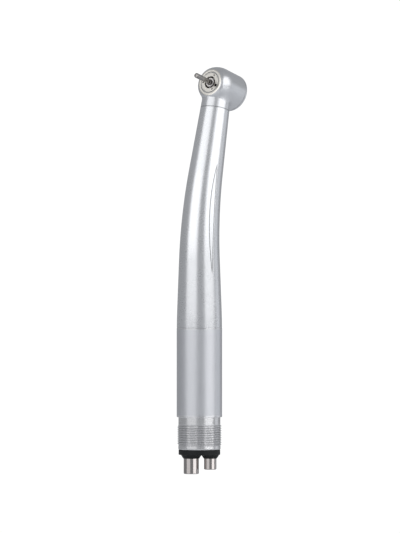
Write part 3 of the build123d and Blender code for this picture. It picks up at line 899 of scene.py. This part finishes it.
def thread_surface(columns):
    """Helical thread: root + depth * clip(triangle wave of z / pitch + angle / 2 pi), faded at both ends."""
    angle = np.linspace(0, 2 * pi, columns, endpoint=False)[None, :]
    depth = np.linspace(0, thread_turns * thread_pitch, 16 * thread_turns + 1)[:, None]
    phase = depth / thread_pitch + angle / (2 * pi)
    wave = 1 - np.abs(2 * (phase % 1) - 1)
    crest = np.clip((wave - 0.14) / 0.68, 0, 1)
    fade = np.clip(depth / 0.3, 0, 1) * np.clip((thread_turns * thread_pitch - depth) / 0.3, 0, 1)
    radius = thread_radius - thread_depth + thread_depth * crest * fade
    return upright((0, 0))(radius * np.cos(angle), radius * np.sin(angle), -relief_length - depth)


def make_connector():
    """Closed body: plug, relief, thread, chamfered collar and end face, with the rows in order."""
    columns = 288
    thread_end = -relief_length - thread_turns * thread_pitch
    above = round_grid(upright((0, 0)), rows(
        (0, 14.0), (6.3, 14.0), (6.3, 0.0), (relief_radius, 0.0), (relief_radius, -relief_length + 0.1),
        (relief_radius - 0.06, -relief_length)), columns)
    below = round_grid(upright((0, 0)), rows(
        (collar_radius - 0.1, thread_end - 0.02), (collar_radius, thread_end - 0.12),
        (collar_radius, -collar_end + 0.45), corner((collar_radius, -collar_end + 0.45),
                                                    (collar_radius, -collar_end + 0.1),
                                                    (relief_radius - 0.25, -collar_end), 6),
        (0, -collar_end)), columns)
    grid = np.concatenate([above, thread_surface(columns), below])

    def painted_shade(points):
        """Painted shade in the thread's roots: the depth below the crest over the thread's depth."""
        radius = np.hypot(points[:, 0], points[:, 1])
        threaded = (points[:, 2] < -relief_length - 0.1) & (points[:, 2] > thread_end + 0.1)
        return 0.2 * threaded * (thread_radius - radius) / thread_depth
    return make_piece("threaded_body", [grid], "handpiece", ["connector_body"],
                      coupling_nickel, near_heights(-collar_end, reach=0.1), painted_shade)


make_connector()

# %% [markdown]
# ## The gasket
# One rubber moulding: a disc, with a cone that grips each large tube. Seen as a height over the plane it is
# the larger of two cones, run together smoothly, on a polar grid that ends at the disc's rim.

# %% Gasket
gasket_radius = 6.7
gasket_end = 12.1
cone_length = 1.25
tubes = {
    "exhaust_tube": {"radius": 2.45, "bore": 1.95},
    "drive_air_tube": {"radius": 2.0, "bore": 1.45},
}
exhaust_low, exhaust_high = (np.array(point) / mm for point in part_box("exhaust_tube"))
tubes["exhaust_tube"]["place"] = (exhaust_low + exhaust_high)[:2] / 2
tubes["exhaust_tube"]["end"] = exhaust_low[2]
drive_mount = next(mount for mount in record["mounts"] if mount["name"] == "drive_air_tube_end")
tubes["drive_air_tube"]["place"] = np.array(drive_mount["pos_m"][:2]) / mm
tubes["drive_air_tube"]["end"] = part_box("drive_air_tube")[0].z / mm
ports = [(-2.9, -2.2), (2.9, 2.2)]


def gasket_rise(x, y):
    """Height of the cones: length * clip((base - gap) / (base - tip)), less a pit at each small port."""
    rise = np.zeros_like(x)
    for tube in tubes.values():
        gap = np.hypot(x - tube["place"][0], y - tube["place"][1])
        base, tip = tube["radius"] + 0.95, tube["radius"] + 0.12
        rise = np.maximum(rise, cone_length * np.clip((base - gap) / (base - tip), 0, 1))
    for port_x, port_y in ports:
        gap = np.hypot(x - port_x, y - port_y)
        rise = rise - 0.8 * np.clip((0.64 - gap) / 0.06, 0, 1)
    return rise


def make_gasket():
    """Polar grid for the moulded face, then the rim with a rounded edge and the flat back."""
    angle = np.linspace(0, 2 * pi, 300, endpoint=False)[None, :]
    radius = np.linspace(0, gasket_radius - 0.12, 90)[:, None]
    x, y = radius * np.cos(angle), radius * np.sin(angle)
    face = np.stack([x, y, -gasket_end - gasket_rise(x, y)], -1)
    rim = round_grid(upright((0, 0)), rows(
        corner((gasket_radius - 0.12, -gasket_end), (gasket_radius, -gasket_end),
               (gasket_radius, -gasket_end + 0.12), 4),
        (gasket_radius, -collar_end - 0.05), (gasket_radius - 0.1, -collar_end), (0, -collar_end)), angle[0])
    return make_piece("rubber_gasket", [np.concatenate([face, rim])], "handpiece", ["connector_gasket"],
                      seal_rubber)


make_gasket()

# %% [markdown]
# ## The tubes
# The two large tubes are polished and have a small chamfer at the mouth. Three of the four lines run on
# inside the handle to the neck, drawn in towards the centre line on their way. Their place beside the line
# eases from the rear place to the neck place by the smooth step 3u^2 - 2u^3.

# %% Lines
drive_neck = np.array((1.05, -1.4))
water_neck = np.array((-1.6, -1.3))
chip_neck = np.array((-1.3, 1.7))
line_end = 101.7
small_radius = 0.6
small_bore = 0.4
small_start = -11.9


def line_rings(rear, neck, radius, first):
    """Rings of a line at the given radius, from a first height to the neck block, eased across."""
    distance = np.linspace(first, line_end, 90)[:, None]
    u = np.clip((distance - 16.0) / 30.0, 0, 1)
    ease = u * u * (3 - 2 * u)
    angle = np.linspace(0, 2 * pi, 48, endpoint=False)[None, :]
    across = rear[0] + (neck[0] - rear[0]) * ease + radius * np.cos(angle)
    aside = rear[1] + (neck[1] - rear[1]) * ease + radius * np.sin(angle)
    return beside_line(distance, across, aside)


def make_line(name, node, rear, neck, radius, bore, first):
    """Closed thin line: outer rings up, inner rings back down."""
    outer = line_rings(rear, neck, radius, first)
    inner = line_rings(rear, neck, bore, first)[::-1]
    return make_piece(name, [np.concatenate([outer, inner, outer[:1]])], "handpiece", [node],
                      tube_steel)


make_line("water_line", "water_tube", np.array(ports[0]), water_neck, small_radius,
          small_bore, small_start)
make_line("chip_air_line", "chip_air_tube", np.array(ports[1]), chip_neck, small_radius,
          small_bore, small_start)


# %% Large tubes
def make_exhaust_tube():
    """Straight pipe with a chamfered mouth."""
    tube = tubes["exhaust_tube"]
    end, top = tube["end"], exhaust_high[2]
    profile = rows((tube["bore"], end + 0.12), (tube["bore"] + 0.12, end), (tube["radius"] - 0.2, end),
                   (tube["radius"], end + 0.2), (tube["radius"], top), (tube["bore"], top),
                   (tube["bore"], end + 0.12))
    return make_piece("exhaust_pipe", [round_grid(upright(tube["place"]), profile, 144)], "handpiece",
                      ["exhaust_tube"], tube_steel)


def make_drive_tube():
    """Stepped pipe: the large stub, a shoulder, and the line that runs to the head, closed on itself."""
    tube = tubes["drive_air_tube"]
    end, rear = tube["end"], tube["place"]
    angle = np.linspace(0, 2 * pi, 48, endpoint=False)
    stub = round_grid(upright(rear), rows(
        (tube["radius"] - 0.2, end), (tube["radius"], end + 0.2), (tube["radius"], 3.0)), angle)
    outer = line_rings(rear, drive_neck, 1.15, 3.0)
    inner = line_rings(rear, drive_neck, 0.85, 2.0)[::-1]
    mouth = round_grid(upright(rear), rows(
        (tube["bore"], 2.0), (tube["bore"], end + 0.12), (tube["bore"] + 0.12, end),
        (tube["radius"] - 0.2, end)), angle)
    return make_piece("drive_air_pipe", [np.concatenate([stub, outer, inner, mouth])], "handpiece",
                      ["drive_air_tube"], tube_steel)


make_exhaust_tube()
make_drive_tube()

# %% [markdown]
# ## The pieces inside
# Bearings, wheel, chuck, springs and seals have the right shape in the CAD model already, so they keep it
# and only get a finish each.

# %% Finishes of the CAD nodes
finishes = {
    "impeller": wheel_aluminium, "collet_chuck": nose_steel, "chuck_plunger": nose_steel,
    "chuck_spring": spring_steel, "button_spring": spring_steel, "preload_washer": spring_steel,
    "neck_block": turned_brass, "joint_ring": turned_brass,
}
for end in ("front", "rear"):
    finishes[f"{end}_outer_race"] = bearing_steel
    finishes[f"{end}_inner_race"] = bearing_steel
    finishes[f"{end}_balls"] = black_ceramic
    finishes[f"{end}_cage"] = cage_resin
    finishes[f"{end}_o_ring"] = seal_rubber
for seal in ("neck_seal", "joint_seal", "connector_seal"):
    finishes[seal] = seal_rubber
for node, finish in finishes.items():
    frame["nodes"][node].data.materials.clear()
    frame["nodes"][node].data.materials.append(finish)
print("finished CAD nodes:", len(finishes))

# %% [markdown]
# ## Camera, floor and light
# Polished round metal shows its surroundings, so the light is set by what the handle should mirror. Two
# tall soft boxes give its two pale bands, the gap between them gives the dark band, and the dim room gives
# the grey edges. Two low strips light the tubes and the thread, and a card fills the head's side. The
# camera is level and far away, with a long lens, so the handle's lines stay straight.

# %% Camera
view_turn = radians(36.87)
towards_camera = np.array([-cos(view_turn), -sin(view_turn), 0.0])
image_right = np.array([sin(view_turn), -cos(view_turn), 0.0])
camera_distance = 1.3
frame_height = 0.1716
aim = image_right * 0.00019 + np.array([0, 0, 0.04846])


def make_camera():
    """Level camera on the line through the aim, with a lens that fits the frame's height."""
    data = bpy.data.cameras.new("camera")
    data.sensor_fit = "VERTICAL"
    data.sensor_height = 24.0
    data.lens = 24.0 * camera_distance / frame_height
    data.clip_end = 50.0
    camera = bpy.data.objects.new("camera", data)
    camera.location = aim + towards_camera * camera_distance
    camera.rotation_euler = (pi / 2, 0.0, atan2(-towards_camera[0], towards_camera[1]) + pi)
    bpy.context.scene.collection.objects.link(camera)
    bpy.context.scene.camera = camera
    return camera


camera = make_camera()
print("lens", round(camera.data.lens, 1))


# %% Soft boxes
def make_soft_box(name, left, right, low, high, radiance, colour=(1, 1, 1)):
    """Area light at one metre, between two angles to the right of the camera's direction and two rises."""
    distance = 1.0
    turn, rise = (left + right) / 2, (low + high) / 2
    width = 2 * distance * tan(radians(right - left) / 2)
    height = 2 * distance * tan(radians(high - low) / 2)
    data = bpy.data.lights.new(name, "AREA")
    data.shape = "RECTANGLE"
    data.size = width
    data.size_y = height
    data.energy = radiance * pi * width * height
    data.color = colour
    light = bpy.data.objects.new(name, data)
    level = towards_camera * cos(radians(turn)) + image_right * sin(radians(turn))
    direction = level * cos(radians(rise)) + np.array([0, 0, sin(radians(rise))])
    light.location = aim + direction * distance
    facing = np.array(light.location) - aim
    tip = atan2(hypot(facing[0], facing[1]), facing[2])
    light.rotation_euler = (tip, 0.0, atan2(facing[1], facing[0]) + pi / 2)
    light.visible_camera = False
    bpy.context.scene.collection.objects.link(light)
    return light


make_soft_box("left_box", -73, -14, 2.4, 38, 1.04)
make_soft_box("right_box", 27, 88, 3.4, 48, 1.1)
make_soft_box("left_strip", -72, -16, -8.5, -4.1, 0.8)
make_soft_box("right_strip", 30, 80, -8.5, -4.1, 1.7)
make_soft_box("side_card", 96, 124, -12, 12, 0.36, (0.92, 0.95, 1.0))


# %% Floor and room
def make_floor():
    """Pale floor well below the handpiece, which is held up by its coupling."""
    size = 2.2
    mesh = bpy.data.meshes.new("floor")
    corners = size * (np.array([[0, 0], [1, 0], [1, 1], [0, 1]]) - 0.5)
    low = cad_box[0][2] - 0.12
    mesh.from_pydata(np.column_stack([corners, np.full(4, low)]).tolist(), [], [[0, 1, 2, 3]])
    material = bpy.data.materials.new("pale_floor")
    material.use_nodes = True
    shader = material.node_tree.nodes["Principled BSDF"]
    shader.inputs["Base Color"].default_value = (0.86, 0.87, 0.89, 1)
    shader.inputs["Roughness"].default_value = 0.8
    mesh.materials.append(material)
    floor = bpy.data.objects.new("floor", mesh)
    bpy.context.scene.collection.objects.link(floor)


def make_room():
    """White to the camera, a dim even room to everything that reflects it."""
    world = bpy.data.worlds.new("room")
    world.use_nodes = True
    tree = world.node_tree
    tree.nodes.clear()
    seen = tree.nodes.new("ShaderNodeBackground")
    seen.inputs["Color"].default_value = (1, 1, 1, 1)
    seen.inputs["Strength"].default_value = 1.05
    dim = tree.nodes.new("ShaderNodeBackground")
    height = tree.nodes.new("ShaderNodeSeparateXYZ")
    tree.links.new(tree.nodes.new("ShaderNodeTexCoord").outputs["Generated"], height.inputs[0])
    fade = tree.nodes.new("ShaderNodeValToRGB")
    fade.color_ramp.elements.new(0.4)
    for stop, level in zip(fade.color_ramp.elements, (0.36, 0.42, 0.38)):
        stop.color = (level, level, level, 1)
    tree.links.new(height.outputs["Z"], fade.inputs["Fac"])
    tree.links.new(fade.outputs["Color"], dim.inputs["Strength"])
    dim.inputs["Color"].default_value = (0.95, 0.97, 1.0, 1)
    mix = tree.nodes.new("ShaderNodeMixShader")
    tree.links.new(tree.nodes.new("ShaderNodeLightPath").outputs["Is Camera Ray"], mix.inputs[0])
    tree.links.new(dim.outputs[0], mix.inputs[1])
    tree.links.new(seen.outputs[0], mix.inputs[2])
    tree.links.new(mix.outputs[0], tree.nodes.new("ShaderNodeOutputWorld").inputs["Surface"])
    bpy.context.scene.world = world


make_floor()
make_room()
bpy.context.scene.view_settings.view_transform = "Standard"
